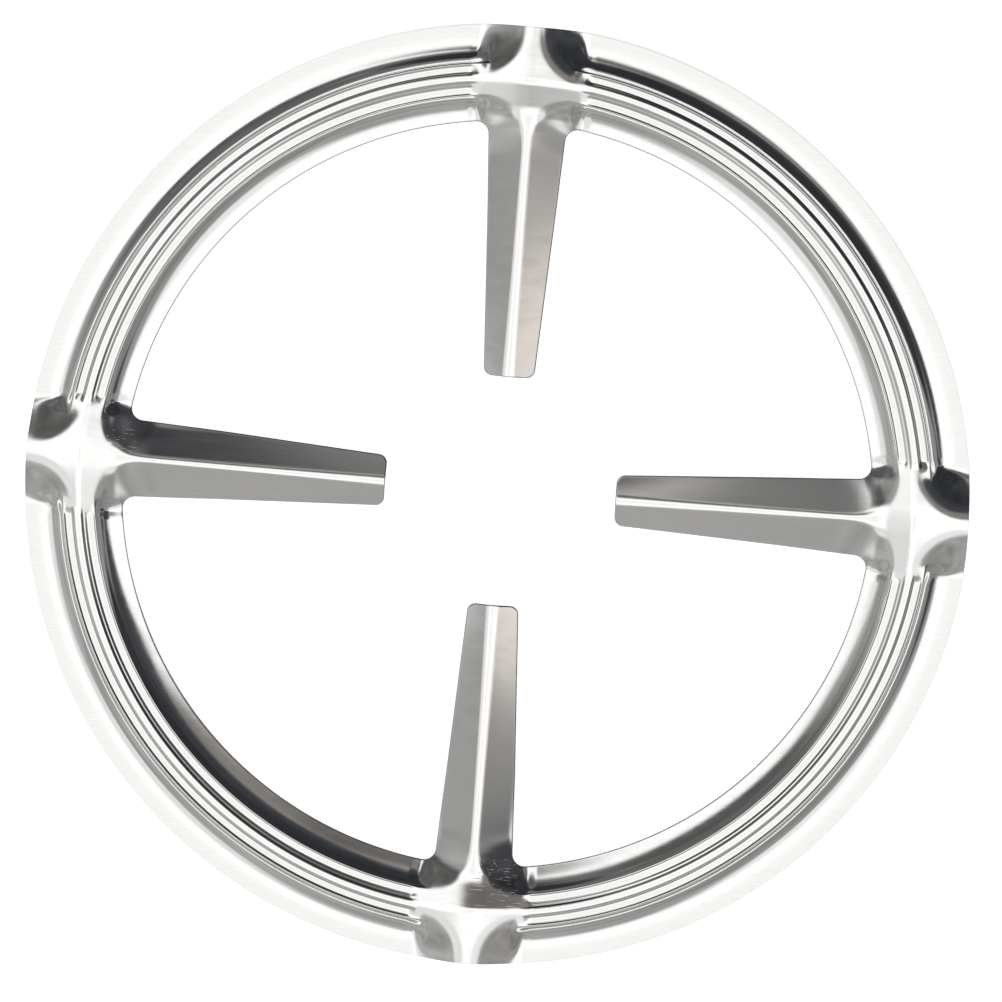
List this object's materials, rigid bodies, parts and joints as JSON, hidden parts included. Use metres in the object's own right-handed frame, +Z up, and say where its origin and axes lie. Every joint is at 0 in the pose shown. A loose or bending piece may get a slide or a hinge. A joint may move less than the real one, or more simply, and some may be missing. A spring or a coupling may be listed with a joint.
{
  "type": "stove pot stand",
  "caption": "Round stamped sheet-steel trivet: a beaded ring with ridged arms that point at an open centre, laid over a burner so that a small pot stands on it.",
  "frame": {"origin": "centre of the ring, on the surface that the stand lies on", "axes": "+Z up through the ring's centre; the arms lie along +X, -X, +Y and -Y"},
  "size_m": [0.145, 0.145, 0.0034],
  "materials": {
    "stainless_steel": "bright stainless steel with a fine brushed grain, polished on the ridges"
  },
  "bodies": {
    "root": {"pot_stand": "stainless_steel"}
  },
  "joints": []
}
